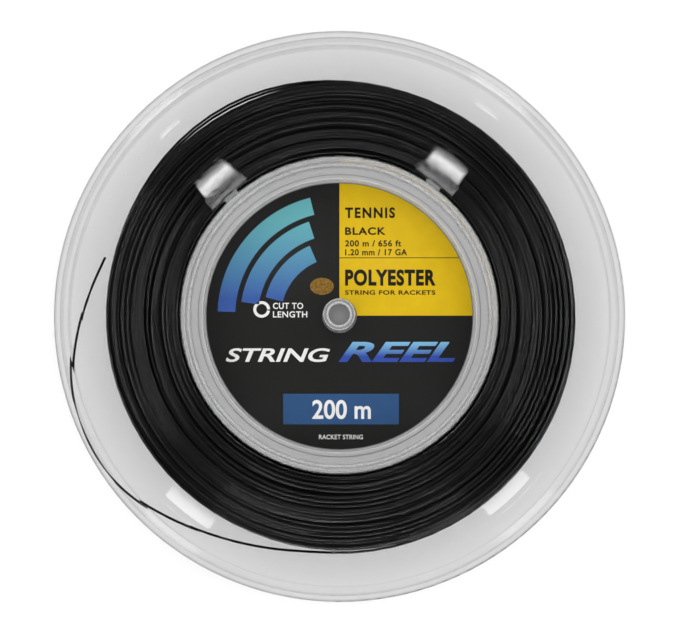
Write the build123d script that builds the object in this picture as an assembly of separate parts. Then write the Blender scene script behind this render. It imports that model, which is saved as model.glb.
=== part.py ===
"""A 200 m reel of tennis string: two clear moulded halves, the wound string, its loose end and a label.

Millimetres. The reel lies on its rear flange with its axis along +Z. The origin is on the axis, in the
plane that the rear flange rests on, and the label is read from above with +Y at its top.
"""

import math
import os

from build123d import *

# Whole reel
REEL_R = 132.5  # 265 mm across the flanges
REEL_H = 26.0  # over both flanges
WALL = 2.0  # moulded wall

# Flange, measured from its outer face towards the middle of the reel
BAND_IN_R = 119.0  # flat band that the reel rests on
BAND_OUT_R = 125.7
BEVEL_OUT_R = 129.7
BAND_STEP = 0.35  # the web starts this much lower than the band
STEP_W = 3.0  # and rises to it over this width
BEVEL_DROP = 1.1
EDGE_DROP = 1.2  # outer face at the very rim
EDGE_INNER = 2.2  # inner face at the very rim
WEB_DROP = 3.6  # outer face of the web where it meets the barrel

# Barrel that the string is wound on, and the front half's collar inside it
BARREL_R = 76.0
BARREL_BORE_R = BARREL_R - WALL
COLLAR_R = BARREL_BORE_R - 0.2
COLLAR_BORE_R = COLLAR_R - WALL
COLLAR_LIP_R = COLLAR_BORE_R - 1.2
COLLAR_FOOT_Z = 15.0
COLLAR_LIP_T = 1.5

# Floor of the open drum, with the ring wall round the label
FLOOR_Z = 4.4
FLOOR_STEP_R = 68.0
RING_BORE_R = 64.6
RING_R = 67.3
RING_TOP_Z = 12.0
RING_DRAFT = 0.2

# Hub tube with the spindle bore
BORE_R = 5.0
TUBE_TOP_R = 7.4
TUBE_FOOT_R = 8.0
MOUTH_CHAMFER = 1.0

# Label card and foil sticker
LABEL_R = 63.8
LABEL_HOLE_R = 8.3
LABEL_T = 0.3
STICKER_W = 11.4
STICKER_H = 8.2
STICKER_T = 0.15
STICKER_AT = (-8.4, 14.1)

# String
STRING_D = 1.2
PACK_GAP = 0.3  # between the winding and the moulded walls
PACK_EDGE_R = 108.6  # outer radius of the winding beside the flanges
PACK_CROWN_R = 110.6  # and halfway between them
TAIL_ROUTE = [
    (-4.0, -111.3, 15.0),
    (-22.3, -110.6, 15.6),
    (-41.5, -107.8, 16.6),
    (-60.8, -102.6, 18.0),
    (-78.5, -95.2, 19.4),
    (-95.0, -85.6, 20.4),
    (-108.4, -73.2, 20.8),
    (-117.9, -58.0, 20.6),
    (-123.4, -41.2, 19.4),
    (-125.2, -23.6, 17.2),
    (-123.0, -5.4, 15.0),
    (-118.0, 12.0, 13.6),
    (-110.9, 27.4, 13.0),
]
ARC_SHARE = 0.45  # share of the shorter run that an arc of the tail takes up

WEB_OUTER_Z = WEB_DROP
WEB_INNER_Z = WEB_DROP + WALL
TUBE_TOP_Z = REEL_H - WEB_DROP


def turned(corners):
    """The solid of revolution about Z of a closed outline of (radius, height, rounding) corners."""
    outline = make_face(Polyline(*[(radius, height) for radius, height, _ in corners], close=True))
    for radius, height, rounding in corners:
        if rounding:
            corner = outline.vertices().sort_by_distance((radius, height))[0]
            outline = fillet(corner, rounding)
    return revolve(Plane.XZ * outline, Axis.Z)


def flange_corners():
    """The flange's outline from the barrel out to the rim and back, with its outer face at height 0."""
    return [
        (BARREL_R, WEB_OUTER_Z, 3.0),
        (BAND_IN_R - STEP_W, BAND_STEP, 3.0),
        (BAND_IN_R, 0.0, 3.0),
        (BAND_OUT_R, 0.0, 1.5),
        (BEVEL_OUT_R, BEVEL_DROP, 1.5),
        (REEL_R, EDGE_DROP, 0.45),
        (REEL_R, EDGE_INNER, 0.45),
        (BEVEL_OUT_R, WALL, 1.5),
        (BAND_IN_R, WALL, 3.0),
        (BARREL_R, WEB_INNER_Z, 0.0),
    ]


def rear_half():
    """Rear flange, barrel, drum floor with the label's ring wall, and the hub tube, moulded in one."""
    floor_under_z = FLOOR_Z - WALL
    drum = [
        (BARREL_R, REEL_H - WEB_INNER_Z, 0.4),
        (BARREL_BORE_R, REEL_H - WEB_INNER_Z, 0.4),
        (BARREL_BORE_R, WEB_INNER_Z, 0.6),
        (RING_R, WEB_INNER_Z, 0.5),
        (RING_R - RING_DRAFT, RING_TOP_Z, 0.7),
        (RING_BORE_R + RING_DRAFT, RING_TOP_Z, 0.7),
        (RING_BORE_R, FLOOR_Z, 0.3),
    ]
    hub = [
        (TUBE_FOOT_R, FLOOR_Z, 0.0),
        (TUBE_TOP_R, TUBE_TOP_Z, 0.5),
        (BORE_R + MOUTH_CHAMFER, TUBE_TOP_Z, 0.3),
        (BORE_R, TUBE_TOP_Z - MOUTH_CHAMFER, 0.3),
        (BORE_R, floor_under_z, 0.4),
    ]
    floor_edge = [
        (FLOOR_STEP_R, floor_under_z, 0.4),
        (FLOOR_STEP_R, WEB_OUTER_Z, 0.4),
    ]
    return turned(flange_corners() + drum + hub + floor_edge)


def front_half():
    """Front flange with the collar that plugs into the barrel; its middle is open to the label."""
    flange = [(radius, REEL_H - height, rounding) for radius, height, rounding in flange_corners()]
    collar = [
        (COLLAR_R, REEL_H - WEB_INNER_Z, 0.0),
        (COLLAR_R, COLLAR_FOOT_Z, 0.4),
        (COLLAR_LIP_R, COLLAR_FOOT_Z, 0.4),
        (COLLAR_LIP_R, COLLAR_FOOT_Z + COLLAR_LIP_T, 0.4),
        (COLLAR_BORE_R, COLLAR_FOOT_Z + COLLAR_LIP_T, 0.4),
        (COLLAR_BORE_R, REEL_H - WEB_OUTER_Z, 0.9),
    ]
    return turned(flange + collar)


def web_inner_height(radius):
    """Height of the rear web's inner face at a radius between the barrel and the band."""
    slope = (WEB_INNER_Z - WALL) / (BAND_IN_R - BARREL_R)
    return WEB_INNER_Z - slope * (radius - BARREL_R)


def string_winding():
    """The outer shape of the wound string: a ring between the webs with a crowned outside."""
    inner_r = BARREL_R + PACK_GAP
    inner_z = web_inner_height(inner_r) + PACK_GAP
    edge_z = web_inner_height(PACK_EDGE_R) + PACK_GAP
    low_side = Line((inner_r, inner_z), (PACK_EDGE_R, edge_z))
    crown = ThreePointArc(
        (PACK_EDGE_R, edge_z), (PACK_CROWN_R, REEL_H / 2), (PACK_EDGE_R, REEL_H - edge_z)
    )
    high_side = Line((PACK_EDGE_R, REEL_H - edge_z), (inner_r, REEL_H - inner_z))
    inside = Line((inner_r, REEL_H - inner_z), (inner_r, inner_z))
    return revolve(Plane.XZ * make_face(low_side + crown + high_side + inside), Axis.Z)


def arc_radii(route):
    """The largest arc that each corner of a route takes, from its shorter run and half its turn."""
    points = [Vector(*point) for point in route]
    radii = []
    for before, corner, after in zip(points, points[1:], points[2:]):
        run_in = corner - before
        run_out = after - corner
        half_turn = math.radians(run_in.get_angle(run_out)) / 2
        shorter = min(run_in.length, run_out.length)
        radii.append(ARC_SHARE * shorter / math.tan(half_turn))
    return radii


def string_tail():
    """The string's loose end, from the winding round to its cut end between the flanges."""
    radii = arc_radii(TAIL_ROUTE)
    path = FilletPolyline(*TAIL_ROUTE, radius=radii)
    start = Plane(origin=path @ 0, z_dir=path % 0)
    tail = sweep(start * Circle(STRING_D / 2), path=path)
    expected = math.pi * STRING_D**2 / 4 * path.length
    print("tail length %.1f, arc radii %s" % (path.length, [round(radius, 1) for radius in radii]))
    print("tail volume %.2f of %.2f expected" % (tail.volume, expected))
    return tail


def label_card():
    """The printed card on the drum floor, with its hole over the hub tube."""
    card = Circle(LABEL_R) - Circle(LABEL_HOLE_R)
    return Pos(0, 0, FLOOR_Z) * extrude(card, LABEL_T)


def foil_sticker():
    """The small oval sticker on the card."""
    x, y = STICKER_AT
    return Pos(x, y, FLOOR_Z + LABEL_T) * extrude(Ellipse(STICKER_W / 2, STICKER_H / 2), STICKER_T)


def main():
    os.makedirs("parts", exist_ok=True)
    for build in (rear_half, front_half, string_winding, string_tail, label_card, foil_sticker):
        export_step(build(), f"parts/{build.__name__}.step")


main()
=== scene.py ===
"""Looks of the string reel: clear moulded halves, wound string with a loose end, and the printed label."""

import math

import bpy
import numpy as np
from mathutils import Matrix, Vector


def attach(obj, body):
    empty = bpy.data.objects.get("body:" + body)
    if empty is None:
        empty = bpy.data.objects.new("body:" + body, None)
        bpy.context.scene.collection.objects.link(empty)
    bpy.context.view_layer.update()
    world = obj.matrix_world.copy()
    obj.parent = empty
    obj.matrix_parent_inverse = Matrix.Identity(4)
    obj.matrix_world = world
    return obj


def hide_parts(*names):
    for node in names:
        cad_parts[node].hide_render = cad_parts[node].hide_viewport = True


MM = 0.001
BODY = "root"

# Sizes that part.py also states, in millimetres
REEL_R = 132.5
REEL_H = 26.0
WALL = 2.0
BARREL_R = 76.0
BAND_IN_R = 119.0
WEB_DROP = 3.6
BAND_STEP = 0.35
STEP_W = 3.0
WEB_INNER_Z = WEB_DROP + WALL
LABEL_R = 63.8
LABEL_HOLE_R = 8.3
LABEL_TOP_Z = 4.7
STRING_D = 1.2
PACK_GAP = 0.3
PACK_EDGE_R = 108.6
PACK_CROWN_R = 110.6
TAIL_ROUTE = [
    (-4.0, -111.3, 15.0),
    (-22.3, -110.6, 15.6),
    (-41.5, -107.8, 16.6),
    (-60.8, -102.6, 18.0),
    (-78.5, -95.2, 19.4),
    (-95.0, -85.6, 20.4),
    (-108.4, -73.2, 20.8),
    (-117.9, -58.0, 20.6),
    (-123.4, -41.2, 19.4),
    (-125.2, -23.6, 17.2),
    (-123.0, -5.4, 15.0),
    (-118.0, 12.0, 13.6),
    (-110.9, 27.4, 13.0),
]
TAIL_LENGTH = 0.221  # metres
STRING_LENGTH = 200.0  # metres, the tail included

# The wound string, in millimetres
STATIONS = 72  # points to a turn
LAYERS = 27
SIDES = 8  # of the string's round section
WINDING_PIECES = 3
STRING_SEED = 20
RELAX_STEPS = 90
LOOSE_TURNS = [(1, 108.6, 2.9), (2, 108.4, 2.0), (3, 108.2, 1.0)]  # turn from the end, least radius, lift
SLACK_AZIMUTH = 118.0  # where the last turns are loose, in degrees
DRIFT = (0.6, 0.45)  # drift of bundles in radius and in height
WANDER = (1.6, 1.3)  # wander of single turns in radius and in height
WANDER_SPAN = 60  # stations over which a turn wanders
DEPTH_SPAN = 80  # stations over which its depth under the webs changes
BARREL_GAP = 0.05  # least room between string and barrel
NEAR_TURNS = 2.2 * STRING_D  # turns this close are watched for overlap
CLEAR_TURNS = STRING_D * 1.02  # and pushed apart to this distance
PUSH = 0.28  # by this share of the overlap, for each of the two turns
EVENINGS = 6  # smoothings along the string after each push

# Finish of the clear plastic, and its tint with rings of painted shade, as pairs of radius in millimetres
# and value
ROUGHNESS = [
    (9.0, 0.12), (12.0, 0.22), (73.4, 0.22), (74.0, 0.0),
    (118.5, 0.0), (119.5, 0.09), (129.4, 0.09), (130.2, 0.16)
]
CLARITY = [
    (4.8, 1.0), (5.0, 0.66), (5.8, 0.66), (6.1, 0.90), (6.9, 0.90), (7.1, 0.66), (7.6, 0.66), (7.9, 0.9),
    (9.0, 0.9), (12.0, 0.72), (73.4, 0.72), (74.0, 1.0)
]
# Tint of the clear plastic: the darker rings at the barrel (70.5 to 76.6 mm) and at the rim (beyond 129.2
# mm) are painted shade
TINT_AND_PAINTED_SHADE = [
    (70.5, 0.985), (71.5, 0.70), (73.4, 0.70), (74.0, 0.30), (76.0, 0.30), (76.6, 0.985),
    (129.2, 0.985), (129.8, 0.80), (131.2, 0.80), (131.9, 0.55)
]
# The rest of the finish, in metres
JAGGED = 0.0013  # how far the drum's frosting strays from its outlines
JAGGED_FROM = (0.020, 0.060)  # radii over which the straying sets in
JAGGED_UP_TO = (0.078, 0.082)  # and over which it dies away
FROST_GRAIN = 0.0008
RING_MARK = 0.0005  # spacing of the turning marks
HUB_EDGE = (0.009, 0.010)  # radii between which the hub gives way to the rest
LAMP_THROUGH = (0.62, 0.97)  # share of lamp light that a face of the hub, and of the rest, lets through
PRINT_ROUGHNESS = (0.30, 0.35)
INK_Z = 0.02  # thickness of a layer of print in millimetres, so great that layers never coincide

# Camera, in metres
CAMERA_AT = Vector((0.0040, -0.0227, 0.6110))
CAMERA_AIM = Vector((0.0004, -0.0005, 0.0260))
CAMERA_LENS = 67.0  # millimetres, on a 36 mm sensor

# Light, with sizes and distances in metres, except that radii of spots seen on the reel are in millimetres
ROOM_LIGHT = 2.75  # as it lights matt surfaces
ROOM_SEEN = 1.2  # and as it shows, directly and in glossy and clear ones
WORLD_DARK = (0.58, 0.76)  # heights on the room's sphere between which it turns from white to dark
CEILING_GREY = 0.006
WEB_TILT = math.degrees(math.atan((WEB_DROP - BAND_STEP) / (BAND_IN_R - STEP_W - BARREL_R)))
# Lights seen in the front flange: radius and azimuth where they show, the face's tilt, radiance, size
NEAR_LIGHTS = [
    (84.5, 54.0, WEB_TILT, 11.0, (0.0110, 0.0155)), (84.5, 132.5, WEB_TILT, 11.0, (0.0110, 0.0155)),
    (77.0, 54.0, WEB_TILT, 5.0, (0.0040, 0.0155)), (77.0, 132.5, WEB_TILT, 5.0, (0.0040, 0.0155)),
    (74.4, 54.0, 0.0, 6.0, (0.0090, 0.0155)), (74.4, 132.5, 0.0, 6.0, (0.0090, 0.0155)),
    (113.4, 232.5, WEB_TILT, 3.8, (0.0135, 0.029)), (113.4, 313.0, WEB_TILT, 3.8, (0.0135, 0.029)),
]
NEAR_DISTANCE = 0.62
BEVEL_R = 127.9
BEVEL_TILT = -15.4
SIDE_LIGHTS = (54.0, 132.5, 232.5, 313.0)  # azimuths
SIDE_LIGHT = 3.0  # radiance
SIDE_SIZE = (0.10, 0.18)
SIDE_DISTANCE = 0.9
STRIP_LIGHTS = [(270.0, 30.0), (180.0, 20.0), (0.0, 17.0), (90.0, 4.0)]  # azimuth, radiance
STRIP_SIZE = (0.05, 0.42)
STRIP_R = 0.30
STRIP_Z = 0.12
STRIP_AIM_R = 0.095  # over the middle of the wound string

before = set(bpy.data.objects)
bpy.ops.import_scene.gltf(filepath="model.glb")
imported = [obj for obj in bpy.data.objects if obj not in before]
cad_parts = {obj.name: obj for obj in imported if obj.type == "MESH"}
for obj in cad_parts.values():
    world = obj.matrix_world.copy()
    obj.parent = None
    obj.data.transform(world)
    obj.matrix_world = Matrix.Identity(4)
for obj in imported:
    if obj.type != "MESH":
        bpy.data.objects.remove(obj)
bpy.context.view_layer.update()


# ---------------------------------------------------------------- materials


def new_material(name):
    """An empty node material with its output, as (material, nodes, links, output)."""
    material = bpy.data.materials.new(name)
    material.use_nodes = True
    tree = material.node_tree
    tree.nodes.clear()
    output = tree.nodes.new("ShaderNodeOutputMaterial")
    return material, tree.nodes, tree.links, output


def add_node(nodes, kind, **values):
    """A node with some of its properties and input values set. Inputs are named by their label."""
    node = nodes.new(kind)
    for key, value in values.items():
        if hasattr(node, key):
            setattr(node, key, value)
        else:
            node.inputs[key.replace("_", " ")].default_value = value
    return node


def noise_node(nodes, links, size, detail=3.0):
    """Noise over the object's own coordinates, whose lumps are about `size` metres."""
    place = nodes.new("ShaderNodeTexCoord")
    noise = add_node(nodes, "ShaderNodeTexNoise", Scale=1.0 / size, Detail=detail)
    links.new(place.outputs["Object"], noise.inputs["Vector"])
    return noise


def range_node(nodes, links, source, low, high, from_low=0.35, from_high=0.65):
    """Maps a value's usual range to low..high."""
    node = nodes.new("ShaderNodeMapRange")
    node.inputs["From Min"].default_value = from_low
    node.inputs["From Max"].default_value = from_high
    node.inputs["To Min"].default_value = low
    node.inputs["To Max"].default_value = high
    links.new(source, node.inputs["Value"])
    return node


def radius_node(nodes, links):
    """Distance from the reel's axis, in metres."""
    place = nodes.new("ShaderNodeTexCoord")
    flat = nodes.new("ShaderNodeVectorMath")
    flat.operation = "MULTIPLY"
    flat.inputs[1].default_value = (1.0, 1.0, 0.0)
    length = nodes.new("ShaderNodeVectorMath")
    length.operation = "LENGTH"
    links.new(place.outputs["Object"], flat.inputs[0])
    links.new(flat.outputs["Vector"], length.inputs[0])
    return length


def math_node(nodes, links, operation, first, second):
    """The result of a sum of two values, held between 0 and 1. Each value is a socket or a number."""
    node = nodes.new("ShaderNodeMath")
    node.operation = operation
    node.use_clamp = True
    for socket, value in zip(node.inputs, (first, second)):
        if isinstance(value, float):
            socket.default_value = value
        else:
            links.new(value, socket)
    return node.outputs["Value"]


def jagged_radius(nodes, links, radius, noise):
    """The distance from the axis, made uneven by a noise over the drum and true elsewhere."""
    stray = range_node(nodes, links, noise.outputs["Fac"], -JAGGED / 2, JAGGED / 2)
    share = range_node(nodes, links, radius.outputs["Value"], 1.0, 0.0, *JAGGED_UP_TO)
    inner = range_node(nodes, links, radius.outputs["Value"], 0.0, 1.0, *JAGGED_FROM)
    local = math_node(nodes, links, "MULTIPLY", share.outputs["Result"], inner.outputs["Result"])
    node = nodes.new("ShaderNodeMath")
    node.operation = "MULTIPLY_ADD"
    links.new(stray.outputs["Result"], node.inputs[0])
    links.new(local, node.inputs[1])
    links.new(radius.outputs["Value"], node.inputs[2])
    return node


def radial_ramp(nodes, links, radius, pairs):
    """A value that follows pairs of radius in millimetres and value."""
    ramp = nodes.new("ShaderNodeValToRGB")
    stops = ramp.color_ramp.elements
    stops.remove(stops[1])
    stops[0].position = 0.0
    stops[0].color = (pairs[0][1], pairs[0][1], pairs[0][1], 1.0)
    for place, value in pairs:
        stop = stops.new(place / REEL_R)
        stop.color = (value, value, value, 1.0)
    scaled = nodes.new("ShaderNodeMath")
    scaled.operation = "DIVIDE"
    scaled.inputs[1].default_value = REEL_R * MM
    links.new(radius.outputs["Value"], scaled.inputs[0])
    links.new(scaled.outputs["Value"], ramp.inputs["Fac"])
    return ramp


def clear_plastic():
    """Clear moulded plastic with fine turning marks, darker rings of painted shade in its tint at the
    barrel and the rim, and lamps that reach through it.
    """
    material, nodes, links, output = new_material("clear_plastic")
    shader = add_node(nodes, "ShaderNodeBsdfPrincipled", IOR=1.5)
    radius = radius_node(nodes, links)
    frost = noise_node(nodes, links, FROST_GRAIN, 4.0)
    uneven = jagged_radius(nodes, links, radius, frost)
    finish = radial_ramp(nodes, links, uneven, ROUGHNESS)
    clarity = radial_ramp(nodes, links, uneven, CLARITY)
    # the base colour carries painted shade: darker rings at the barrel and near the rim
    tint = radial_ramp(nodes, links, uneven, TINT_AND_PAINTED_SHADE)
    links.new(finish.outputs["Color"], shader.inputs["Roughness"])
    links.new(clarity.outputs["Color"], shader.inputs["Transmission Weight"])
    links.new(tint.outputs["Color"], shader.inputs["Base Color"])
    rings = nodes.new("ShaderNodeTexNoise")
    rings.noise_dimensions = "1D"
    rings.inputs["Scale"].default_value = 1.0 / RING_MARK
    rings.inputs["Detail"].default_value = 3.0
    links.new(radius.outputs["Value"], rings.inputs["W"])
    marks = add_node(nodes, "ShaderNodeBump", Strength=0.12, Distance=0.00001)
    links.new(rings.outputs["Fac"], marks.inputs["Height"])
    speckle = nodes.new("ShaderNodeBump")
    speckle.inputs["Distance"].default_value = 0.0002
    links.new(finish.outputs["Color"], speckle.inputs["Strength"])
    links.new(frost.outputs["Fac"], speckle.inputs["Height"])
    links.new(marks.outputs["Normal"], speckle.inputs["Normal"])
    links.new(speckle.outputs["Normal"], shader.inputs["Normal"])
    shadow = nodes.new("ShaderNodeBsdfTransparent")
    let_through = range_node(nodes, links, radius.outputs["Value"], *LAMP_THROUGH, *HUB_EDGE)
    links.new(let_through.outputs["Result"], shadow.inputs["Color"])
    ray = nodes.new("ShaderNodeLightPath")
    is_ray = ray.outputs
    smeared = math_node(nodes, links, "SUBTRACT", is_ray["Is Glossy Ray"], is_ray["Is Singular Ray"])
    bounced = math_node(nodes, links, "SUBTRACT", smeared, is_ray["Is Transmission Ray"])
    either = math_node(nodes, links, "MAXIMUM", is_ray["Is Shadow Ray"], is_ray["Is Diffuse Ray"])
    straight = math_node(nodes, links, "MAXIMUM", either, bounced)
    mix = nodes.new("ShaderNodeMixShader")
    links.new(straight, mix.inputs["Fac"])
    links.new(shader.outputs["BSDF"], mix.inputs[1])
    links.new(shadow.outputs["BSDF"], mix.inputs[2])
    links.new(mix.outputs["Shader"], output.inputs["Surface"])
    return material


def string_material():
    """Black extruded polyester: glossy, with a slightly uneven skin."""
    material, nodes, links, output = new_material("black_polyester")
    shader = add_node(nodes, "ShaderNodeBsdfPrincipled", IOR=1.5)
    shader.inputs["Specular IOR Level"].default_value = 0.20
    skin = noise_node(nodes, links, 0.0006)
    gloss = range_node(nodes, links, skin.outputs["Fac"], 0.14, 0.20)
    links.new(gloss.outputs["Result"], shader.inputs["Roughness"])
    tint = nodes.new("ShaderNodeValToRGB")
    tint.color_ramp.elements[0].color = (0.0012, 0.0012, 0.0013, 1.0)
    tint.color_ramp.elements[1].color = (0.0030, 0.0030, 0.0032, 1.0)
    wide = noise_node(nodes, links, 0.012)
    links.new(wide.outputs["Fac"], tint.inputs["Fac"])
    links.new(tint.outputs["Color"], shader.inputs["Base Color"])
    bump = add_node(nodes, "ShaderNodeBump", Strength=0.2, Distance=0.00002)
    links.new(skin.outputs["Fac"], bump.inputs["Height"])
    links.new(bump.outputs["Normal"], shader.inputs["Normal"])
    links.new(shader.outputs["BSDF"], output.inputs["Surface"])
    return material


def print_material(name, colour, second=None, across=None):
    """Ink under a gloss laminate. With a second colour, it shades into that along y, over `across`."""
    material, nodes, links, output = new_material(name)
    shader = add_node(nodes, "ShaderNodeBsdfPrincipled", IOR=1.5)
    shader.inputs["Coat Weight"].default_value = 0.3
    shader.inputs["Coat Roughness"].default_value = 0.15
    mottle = noise_node(nodes, links, 0.006)
    amount = range_node(nodes, links, mottle.outputs["Fac"], 0.0, 1.0)
    blend = nodes.new("ShaderNodeMix")
    blend.data_type = "RGBA"
    links.new(amount.outputs["Result"], blend.inputs["Factor"])
    blend.inputs["A"].default_value = (*[0.97 * part for part in colour], 1.0)
    blend.inputs["B"].default_value = (*[min(1.0, 1.03 * part) for part in colour], 1.0)
    ink = blend.outputs["Result"]
    if second:
        place = nodes.new("ShaderNodeTexCoord")
        split = nodes.new("ShaderNodeSeparateXYZ")
        links.new(place.outputs["Object"], split.inputs["Vector"])
        share = range_node(nodes, links, split.outputs["Y"], 0.0, 1.0, across[0] * MM, across[1] * MM)
        shade = nodes.new("ShaderNodeMix")
        shade.data_type = "RGBA"
        links.new(share.outputs["Result"], shade.inputs["Factor"])
        links.new(ink, shade.inputs["A"])
        shade.inputs["B"].default_value = (*second, 1.0)
        ink = shade.outputs["Result"]
    links.new(ink, shader.inputs["Base Color"])
    fibre = noise_node(nodes, links, 0.0009)
    gloss = range_node(nodes, links, fibre.outputs["Fac"], *PRINT_ROUGHNESS)
    links.new(gloss.outputs["Result"], shader.inputs["Roughness"])
    bump = add_node(nodes, "ShaderNodeBump", Strength=0.1, Distance=0.00003)
    links.new(mottle.outputs["Fac"], bump.inputs["Height"])
    links.new(bump.outputs["Normal"], shader.inputs["Normal"])
    links.new(shader.outputs["BSDF"], output.inputs["Surface"])
    return material


def foil_material():
    """Gold foil with fine embossing."""
    material, nodes, links, output = new_material("gold_foil")
    shader = add_node(nodes, "ShaderNodeBsdfPrincipled", Metallic=0.6, Roughness=0.35)
    glint = noise_node(nodes, links, 0.0012, 5.0)
    ramp = nodes.new("ShaderNodeValToRGB")
    ramp.color_ramp.elements[0].position = 0.35
    ramp.color_ramp.elements[0].color = (0.36, 0.18, 0.030, 1.0)
    ramp.color_ramp.elements[1].position = 0.70
    ramp.color_ramp.elements[1].color = (0.60, 0.36, 0.09, 1.0)
    links.new(glint.outputs["Fac"], ramp.inputs["Fac"])
    links.new(ramp.outputs["Color"], shader.inputs["Base Color"])
    bump = add_node(nodes, "ShaderNodeBump", Strength=0.3, Distance=0.00005)
    links.new(glint.outputs["Fac"], bump.inputs["Height"])
    links.new(bump.outputs["Normal"], shader.inputs["Normal"])
    links.new(shader.outputs["BSDF"], output.inputs["Surface"])
    return material


def floor_material():
    """Plain pale sweep of matt card."""
    material, nodes, links, output = new_material("pale_floor")
    shader = add_node(nodes, "ShaderNodeBsdfPrincipled", Base_Color=(0.92, 0.92, 0.92, 1.0), Roughness=0.9)
    shader.inputs["Specular IOR Level"].default_value = 0.1
    links.new(shader.outputs["BSDF"], output.inputs["Surface"])
    return material


# ---------------------------------------------------------------- meshes


def mesh_object(name, points, faces, material, smooth=False):
    """A mesh object in the scene, from points in metres."""
    mesh = bpy.data.meshes.new(name)
    mesh.from_pydata(points, [], faces)
    mesh.materials.append(material)
    if smooth:
        mesh.shade_smooth()
    obj = bpy.data.objects.new(name, mesh)
    bpy.context.scene.collection.objects.link(obj)
    return obj


def tube_mesh(name, centres, thickness, material):
    """A capped round tube along centres, an array of points in metres."""
    along = np.gradient(centres, axis=0)
    along /= np.linalg.norm(along, axis=1)[:, None]
    side = np.cross(along, (0.0, 0.0, 1.0))
    side /= np.linalg.norm(side, axis=1)[:, None]
    up = np.cross(side, along)
    turn = np.arange(SIDES) * (2 * math.pi / SIDES)
    ring = np.cos(turn)[None, :, None] * side[:, None, :] + np.sin(turn)[None, :, None] * up[:, None, :]
    points = (centres[:, None, :] + ring * (thickness / 2)).reshape(-1, 3)
    count = len(centres)
    start = (np.arange(count - 1) * SIDES)[:, None]
    here = np.arange(SIDES)[None, :]
    after = (here + 1) % SIDES
    walls = np.stack([start + here, start + SIDES + here, start + SIDES + after, start + after], axis=2)
    faces = walls.reshape(-1, 4).tolist()
    faces.append(list(range(SIDES)))
    faces.append([(count - 1) * SIDES + k for k in reversed(range(SIDES))])
    return mesh_object(name, points.tolist(), faces, material, smooth=True)


# ---------------------------------------------------------------- wound string


def web_inner_height(radius):
    """Height of the rear web's inner face at a radius between the barrel and the band, in millimetres."""
    slope = (WEB_INNER_Z - WALL) / (BAND_IN_R - BARREL_R)
    return WEB_INNER_Z - slope * (radius - BARREL_R)


def half_width(radius):
    """How far from mid height the string's centre may lie at a radius, in millimetres."""
    between_webs = REEL_H / 2 - web_inner_height(radius) - PACK_GAP - STRING_D / 2
    edge = PACK_EDGE_R - STRING_D / 2
    crown = PACK_CROWN_R - STRING_D / 2
    above_edge = np.clip((radius - edge) / (crown - edge), 0.0, 1.0)
    return between_webs * np.sqrt(1.0 - above_edge)


def smooth_noise(rng, count, span):
    """Noise of about unit size along the string, which changes over about `span` stations."""
    kernel = np.hanning(2 * span + 1)
    kernel /= np.sqrt((kernel**2).sum())
    white = rng.normal(size=count + 2 * span)
    return np.convolve(white, kernel, mode="valid")


def wound_layers():
    """Radius and height at every station, as neat layers that fill the pack, and the number of turns."""
    radii = np.linspace(BARREL_R + PACK_GAP + STRING_D / 2, PACK_CROWN_R - STRING_D, LAYERS)
    widths = 2 * half_width(radii)
    wound = STRING_LENGTH / MM - TAIL_LENGTH / MM
    pitch = (widths * 2 * math.pi * radii).sum() / wound
    ends = np.cumsum(widths / pitch)
    turns = int(round(ends[-1]))
    turn = np.arange(turns * STATIONS) / STATIONS * (ends[-1] / turns)
    layer = np.minimum(np.searchsorted(ends, turn, side="right"), LAYERS - 1)
    starts = np.concatenate([[0.0], ends[:-1]])
    share = (turn - starts[layer]) / (ends - starts)[layer]
    side = np.where(layer % 2 == 0, 1.0, -1.0)
    heights = REEL_H / 2 + side * (2 * share - 1) * widths[layer] / 2
    return radii[layer], heights, turns


def bundle_drift(rng, azimuth, radius, height):
    """Slow drift that neighbouring turns share, which gathers them in bundles, in millimetres."""
    drift = np.zeros_like(radius)
    for waves in (1, 2, 3, 4, 6):
        length = rng.uniform(7.0, 16.0)
        phase = rng.uniform(0.0, 2 * math.pi)
        lean = rng.uniform(-1.0, 1.0)
        drift += np.sin(waves * azimuth + 2 * math.pi * (radius + lean * height) / length + phase) / waves
    return drift


def close_pairs(radius, height, reach):
    """Pairs of turns that come within reach of each other at some station."""
    first, second = [], []
    for n in range(len(radius) - 1):
        gap = (radius[n + 1:] - radius[n]) ** 2 + (height[n + 1:] - height[n]) ** 2
        near = np.nonzero(gap.min(axis=1) < reach**2)[0]
        first.append(np.full(len(near), n))
        second.append(near + n + 1)
    return np.concatenate(first), np.concatenate(second)


def keep_in_pack(radius, height, limit, depth):
    """Holds turns between the barrel, the webs less each one's depth under them, and the outer limit."""
    radius = np.clip(radius, BARREL_R + STRING_D / 2 + BARREL_GAP, limit)
    reach = REEL_H / 2 - web_inner_height(radius) - STRING_D / 2 - depth
    height = np.clip(height, REEL_H / 2 - reach, REEL_H / 2 + reach)
    return radius, height


def settle(radius, height, limit, depth, steps):
    """Pushes turns that lie in each other apart and evens the string along its length."""
    for step in range(steps):
        if step % 10 == 0:
            first, second = close_pairs(radius, height, NEAR_TURNS)
        across = radius[second] - radius[first]
        upward = height[second] - height[first]
        gap = np.sqrt(across**2 + upward**2) + 1e-6
        push = np.clip(CLEAR_TURNS - gap, 0.0, None) / gap * PUSH
        move_r = np.zeros_like(radius)
        move_z = np.zeros_like(height)
        np.add.at(move_r, second, push * across)
        np.add.at(move_r, first, -push * across)
        np.add.at(move_z, second, push * upward)
        np.add.at(move_z, first, -push * upward)
        radius = radius + move_r
        height = height + move_z
        for _ in range(EVENINGS):
            radius = evened(radius)
            height = evened(height)
        radius, height = keep_in_pack(radius, height, limit, depth)
    return radius, height


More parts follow.
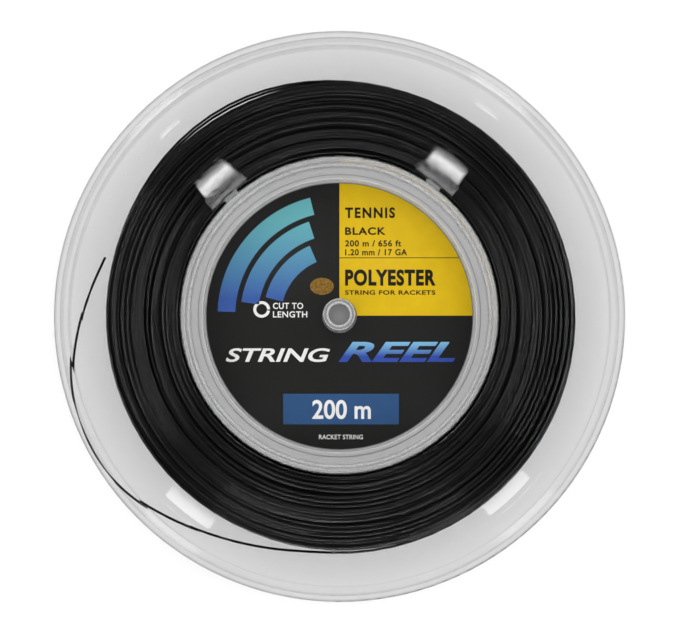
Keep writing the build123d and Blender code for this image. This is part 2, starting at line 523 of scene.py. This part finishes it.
def evened(values):
    """Values along the string, each moved towards its neighbours' mean."""
    line = values.reshape(-1)
    middle = 0.5 * line[1:-1] + 0.25 * (line[:-2] + line[2:])
    return np.concatenate([line[:1], middle, line[-1:]]).reshape(values.shape)


def outer_limit(azimuth):
    """How far out the centre of a turn may lie, in millimetres."""
    slack = arc_window(azimuth, SLACK_AZIMUTH, 45.0)
    return 109.3 + 0.5 * np.cos(azimuth - 0.3) + 0.5 * np.cos(2 * azimuth + 2.0) - 1.6 * slack


def string_centres():
    """Centre line of the wound string from the barrel to where its loose end leaves, in metres."""
    rng = np.random.default_rng(STRING_SEED)
    radius, height, turns = wound_layers()
    count = turns * STATIONS
    exit_at = Vector(TAIL_ROUTE[0])
    exit_azimuth = math.atan2(exit_at.y, exit_at.x)
    azimuth = exit_azimuth + np.arange(count - 1, -1, -1) * (2 * math.pi / STATIONS)
    drift_r = bundle_drift(rng, azimuth, radius, height)
    drift_z = bundle_drift(rng, azimuth, height, radius)
    radius = radius + DRIFT[0] * drift_r + WANDER[0] * smooth_noise(rng, count, WANDER_SPAN)
    height = height + DRIFT[1] * drift_z + WANDER[1] * smooth_noise(rng, count, WANDER_SPAN)
    radius = radius.reshape(turns, STATIONS)
    height = height.reshape(turns, STATIONS)
    limit = outer_limit(azimuth).reshape(turns, STATIONS)
    depth = 0.1 + 0.9 * np.abs(smooth_noise(rng, count, DEPTH_SPAN)).reshape(turns, STATIONS)
    radius, height = keep_in_pack(radius, height, limit, depth)
    steps = RELAX_STEPS
    radius, height = settle(radius, height, limit, depth, steps)
    radius, height = radius.reshape(-1), height.reshape(-1)
    loosen(radius, azimuth)
    lead_out(radius, height, exit_at)
    centres = np.stack([radius * np.cos(azimuth), radius * np.sin(azimuth), height], axis=1)
    return centres * MM


def arc_window(azimuth, middle, reach):
    """1 at the middle of an arc and 0 beyond its reach, both in degrees."""
    away = np.abs(np.angle(np.exp(1j * (azimuth - math.radians(middle)))))
    return np.cos(np.clip(away / math.radians(reach), 0.0, 1.0) * math.pi / 2) ** 2


def loosen(radius, azimuth):
    """Lets the last turns stand off the pack over an arc at the upper left."""
    for back, start, lift in LOOSE_TURNS:
        turn = slice(len(radius) - back * STATIONS, len(radius) - (back - 1) * STATIONS)
        lifted = lift * arc_window(azimuth[turn], SLACK_AZIMUTH, 50.0)
        radius[turn] = np.maximum(radius[turn], start) + lifted


def lead_out(radius, height, exit_at):
    """Brings the end of the last turn smoothly to the start of the loose end."""
    span = STATIONS // 2
    share = np.linspace(0.0, 1.0, span)
    ease = share * share * (3 - 2 * share)
    exit_radius = math.hypot(exit_at.x, exit_at.y)
    radius[-span:] = radius[-span:] * (1 - ease) + exit_radius * ease
    height[-span:] = height[-span:] * (1 - ease) + exit_at.z * ease


def make_winding(material):
    """The wound string, in a few pieces that follow each other. Returns them."""
    centres = string_centres()
    length = np.linalg.norm(np.diff(centres, axis=0), axis=1).sum()
    print("wound string %.1f m" % length)
    breaks = np.linspace(0, len(centres) - 1, WINDING_PIECES + 1).astype(int)
    pieces = []
    for index in range(WINDING_PIECES):
        part = centres[breaks[index]:breaks[index + 1] + 1]
        piece = tube_mesh("wound_string_%d" % (index + 1), part, STRING_D * MM, material)
        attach(piece, BODY)
        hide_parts("string_winding")
        pieces.append(piece)
    return pieces


def make_tail(material):
    """The string's loose end, one smooth spline through the space between the flanges."""
    curve = bpy.data.curves.new("string_tail_curve", "CURVE")
    curve.dimensions = "3D"
    curve.bevel_depth = STRING_D / 2 * MM
    curve.bevel_resolution = 4
    curve.resolution_u = 16
    curve.use_fill_caps = True
    spline = curve.splines.new("NURBS")
    spline.points.add(len(TAIL_ROUTE) - 1)
    for point, place in zip(spline.points, TAIL_ROUTE):
        point.co = (*(part * MM for part in place), 1.0)
    spline.order_u = 3
    spline.use_endpoint_u = True
    curve.materials.append(material)
    tail = bpy.data.objects.new("loose_end", curve)
    bpy.context.scene.collection.objects.link(tail)
    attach(tail, BODY)
    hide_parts("string_tail")


# ---------------------------------------------------------------- printed label

def slab(name, outline, layer, material):
    """A flat patch of print with a straight-sided outline, on the label's face."""
    low = (LABEL_TOP_Z + (layer - 1) * INK_Z) * MM
    high = (LABEL_TOP_Z + layer * INK_Z) * MM
    count = len(outline)
    points = [(x * MM, y * MM, low) for x, y in outline] + [(x * MM, y * MM, high) for x, y in outline]
    faces = [list(range(count))[::-1], [count + k for k in range(count)]]
    faces += [[k, (k + 1) % count, count + (k + 1) % count, count + k] for k in range(count)]
    piece = mesh_object(name, points, faces, material)
    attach(piece, BODY)


def arc(radius, start, stop, count=48):
    """Points of an arc about the label's centre, angles in degrees."""
    angles = np.radians(np.linspace(start, stop, count))
    return [(radius * math.cos(angle), radius * math.sin(angle)) for angle in angles]


def lettering(name, words, x, base, height, width, material, layer=2, slant=0.0, weight=0.0, spacing=1.0):
    """Words with their left edge, base line, capital height and total width in millimetres."""
    text = bpy.data.curves.new(name + "_text", "FONT")
    text.body = words
    text.shear = slant
    text.offset = weight
    text.resolution_u = 6
    text.space_character = spacing
    letters = bpy.data.objects.new(name + "_letters", text)
    bpy.context.scene.collection.objects.link(letters)
    bpy.context.view_layer.update()
    mesh = bpy.data.meshes.new_from_object(letters)
    bpy.data.objects.remove(letters)
    co = np.array([v.co for v in mesh.vertices])
    low, high = co.min(axis=0), co.max(axis=0)
    scale = ((width * MM) / (high[0] - low[0]), (height * MM) / (high[1] - low[1]))
    top = (LABEL_TOP_Z + layer * INK_Z) * MM
    for vertex, place in zip(mesh.vertices, co):
        across = (place[0] - low[0]) * scale[0] + x * MM
        up = (place[1] - low[1]) * scale[1] + base * MM
        vertex.co = (across, up, top)
    mesh.materials.clear()
    mesh.materials.append(material)
    piece = bpy.data.objects.new(name, mesh)
    bpy.context.scene.collection.objects.link(piece)
    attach(piece, BODY)


def make_label():
    """The charcoal card with its yellow quarter, plain words and plain shapes."""
    charcoal = print_material("charcoal_print", (0.0150, 0.0150, 0.0142))
    yellow = print_material("yellow_print", (0.70, 0.46, 0.008))
    black = print_material("black_print", (0.011, 0.010, 0.008))
    white = print_material("white_print", (0.80, 0.80, 0.78))
    arcs = print_material("blue_teal_print", (0.045, 0.105, 0.36), (0.13, 0.42, 0.46), (8.0, 46.0))
    title = print_material("title_blue_print", (0.035, 0.075, 0.36), (0.22, 0.50, 0.72), (-19.5, -12.5))
    box = print_material("box_blue_print", (0.030, 0.085, 0.21))
    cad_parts["label_card"].material_slots[0].material = charcoal
    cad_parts["foil_sticker"].material_slots[0].material = foil_material()

    inset = LABEL_R - 0.1
    corner = LABEL_HOLE_R + 0.05
    quarter = [(0.0, corner)] + arc(inset, 90.0, 0.0) + [(corner, 0.0)] + arc(corner, 0.0, 90.0, 16)[1:-1]
    slab("yellow_quarter", quarter, 1, yellow)
    rule_y = 27.6
    rule_top = rule_y + 0.35
    rule_x = math.sqrt(inset**2 - rule_y**2)
    rule = [(0.0, rule_y), (rule_x, rule_y), (rule_x - 0.1, rule_top), (0.0, rule_top)]
    slab("quarter_rule", rule, 2, black)
    lettering("sport_word", "TENNIS", 2.7, 46.9, 5.2, 24.0, black, weight=0.036, spacing=1.25)
    lettering("colour_word", "BLACK", 2.7, 38.8, 3.7, 19.5, black, weight=0.03, spacing=1.15)
    lettering("length_line", "200 m / 656 ft", 2.7, 33.2, 3.1, 27.0, black, weight=0.026, spacing=1.1)
    lettering("gauge_line", "1.20 mm / 17 GA", 2.7, 28.9, 3.1, 29.8, black, weight=0.026, spacing=1.1)
    lettering("kind_word", "POLYESTER", 2.7, 14.3, 7.9, 43.5, black, weight=0.045, spacing=1.12)
    lettering("use_line", "STRING FOR RACKETS", 2.7, 10.0, 2.2, 43.3, black, weight=0.03, spacing=1.1)

    for index, (inner, outer, start, stop) in enumerate(
        ((50.0, 58.5, 104.0, 178.0), (39.0, 47.5, 108.0, 172.0), (28.0, 36.5, 113.0, 166.0))
    ):
        band = arc(outer, start, stop) + arc(inner, stop, start)
        slab("plain_arc_%d" % (index + 1), band, 1, arcs)
    ring = arc(4.0, 0.0, 350.0, 36) + arc(2.6, 350.0, 0.0, 36)
    slab("small_ring", [(x - 37.3, y + 3.0) for x, y in ring], 1, white)
    lettering("left_line_1", "CUT TO", -31.9, 3.2, 3.0, 14.5, white, weight=0.02, spacing=1.1)
    lettering("left_line_2", "LENGTH", -31.9, -0.9, 3.0, 16.5, white, weight=0.02, spacing=1.1)
    lettering("title_word_1", "STRING", -54.5, -22.2, 6.6, 50.0, white, slant=0.25, weight=0.02)
    lettering("title_word_2", "REEL", -0.5, -22.2, 9.6, 56.0, title, slant=0.35, weight=0.03)
    slab("plain_box", [(-26.9, -52.0), (28.4, -52.0), (28.4, -37.4), (-26.9, -37.4)], 1, box)
    lettering("box_words", "200 m", -13.0, -49.5, 9.2, 28.0, white, weight=0.02)
    lettering("foot_line", "RACKET STRING", -9.8, -59.1, 2.2, 21.0, white, weight=0.012)


# ---------------------------------------------------------------- camera, light and floor


def make_camera():
    """Looks almost straight down at the reel, from a little towards -Y."""
    data = bpy.data.cameras.new("camera")
    data.lens = CAMERA_LENS
    data.clip_start = 0.01
    data.clip_end = 50.0
    camera = bpy.data.objects.new("camera", data)
    camera.location = CAMERA_AT
    back = (CAMERA_AT - CAMERA_AIM).normalized()
    right = Vector((0.0, 1.0, 0.0)).cross(back).normalized()
    camera.rotation_euler = Matrix((right, back.cross(right), back)).transposed().to_euler()
    bpy.context.scene.collection.objects.link(camera)
    bpy.context.scene.camera = camera


def area_light(name, place, target, outward, size, radiance):
    """An evenly bright rectangle that faces the target, sized along `outward` and then across it."""
    data = bpy.data.lights.new(name, "AREA")
    data.shape = "RECTANGLE"
    data.size, data.size_y = size
    data.energy = radiance * math.pi * size[0] * size[1]
    light = bpy.data.objects.new(name, data)
    back = (place - target).normalized()
    up = back.cross(outward).normalized()
    turn = Matrix((up.cross(back), up, back)).transposed().to_4x4()
    light.matrix_world = Matrix.Translation(place) @ turn
    light.visible_camera = False
    bpy.context.scene.collection.objects.link(light)
    return light


def outward_at(azimuth):
    """The horizontal direction away from the reel's axis at an azimuth in degrees."""
    return Vector((math.cos(math.radians(azimuth)), math.sin(math.radians(azimuth)), 0.0))


def mirror_place(radius, azimuth, tilt, distance):
    """A spot on the reel's face, and where a light stands so that the camera sees it there in the face,
    which is tilted inwards by `tilt` degrees."""
    outward = outward_at(azimuth)
    lean = math.radians(tilt)
    spot = outward * radius * MM + Vector((0.0, 0.0, REEL_H * MM))
    normal = Vector((0.0, 0.0, 1.0)) * math.cos(lean) - outward * math.sin(lean)
    sight = (spot - CAMERA_AT).normalized()
    return spot, spot + sight.reflect(normal) * distance


def make_lights(strings):
    """Small lights near the camera, wider ones round the reel, and strips that light only the string."""
    receivers = bpy.data.collections.new("lit_by_strips")
    for string in strings:
        receivers.objects.link(string)
    for index, (radius, azimuth, tilt, radiance, size) in enumerate(NEAR_LIGHTS):
        spot, place = mirror_place(radius, azimuth, tilt, NEAR_DISTANCE)
        area_light("near_light_%d" % (index + 1), place, spot, outward_at(azimuth), size, radiance)
    for index, azimuth in enumerate(SIDE_LIGHTS):
        spot, place = mirror_place(BEVEL_R, azimuth, BEVEL_TILT, SIDE_DISTANCE)
        name = "side_light_%d" % (index + 1)
        area_light(name, place, spot, outward_at(azimuth), SIDE_SIZE, SIDE_LIGHT)
    for index, (azimuth, radiance) in enumerate(STRIP_LIGHTS):
        outward = outward_at(azimuth)
        place = outward * STRIP_R + Vector((0.0, 0.0, STRIP_Z))
        name = "strip_light_%d" % (index + 1)
        strip = area_light(name, place, outward * STRIP_AIM_R, outward, STRIP_SIZE, radiance)
        strip.light_linking.receiver_collection = receivers


def make_room():
    """A pale room that is dark overhead, and dimmer as it shows than as it lights matt surfaces."""
    world = bpy.data.worlds.new("studio")
    bpy.context.scene.world = world
    world.use_nodes = True
    nodes, links = world.node_tree.nodes, world.node_tree.links
    nodes.clear()
    output = nodes.new("ShaderNodeOutputWorld")
    sky = nodes.new("ShaderNodeBackground")
    place = nodes.new("ShaderNodeTexCoord")
    height = nodes.new("ShaderNodeSeparateXYZ")
    ramp = nodes.new("ShaderNodeValToRGB")
    pale, dark = ramp.color_ramp.elements
    pale.position, dark.position = WORLD_DARK
    pale.color = (1.0, 1.0, 1.0, 1.0)
    dark.color = (CEILING_GREY, CEILING_GREY, CEILING_GREY, 1.0)
    links.new(place.outputs["Generated"], height.inputs["Vector"])
    links.new(height.outputs["Z"], ramp.inputs["Fac"])
    links.new(ramp.outputs["Color"], sky.inputs["Color"])
    ray = nodes.new("ShaderNodeLightPath")
    is_ray = ray.outputs
    bent = math_node(nodes, links, "MAXIMUM", is_ray["Is Glossy Ray"], is_ray["Is Transmission Ray"])
    seen = math_node(nodes, links, "MAXIMUM", is_ray["Is Camera Ray"], bent)
    strength = range_node(nodes, links, seen, ROOM_LIGHT, ROOM_SEEN, 0.0, 1.0)
    links.new(strength.outputs["Result"], sky.inputs["Strength"])
    links.new(sky.outputs["Background"], output.inputs["Surface"])


def make_floor():
    """The plain surface that the reel lies on."""
    reach = 4.0
    low = -0.0002
    corners = [(-reach, -reach, low), (reach, -reach, low), (reach, reach, low), (-reach, reach, low)]
    floor = mesh_object("floor", corners, [[0, 1, 2, 3]], floor_material())


scene = bpy.context.scene
scene.view_settings.view_transform = "Standard"
scene.cycles.transparent_max_bounces = 32
scene.cycles.caustics_refractive = False

make_camera()
black = string_material()
make_tail(black)
winding = make_winding(black)
clear = clear_plastic()
for half in ("rear_half", "front_half"):
    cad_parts[half].material_slots[0].material = clear
make_label()
make_lights(winding)
make_room()
make_floor()
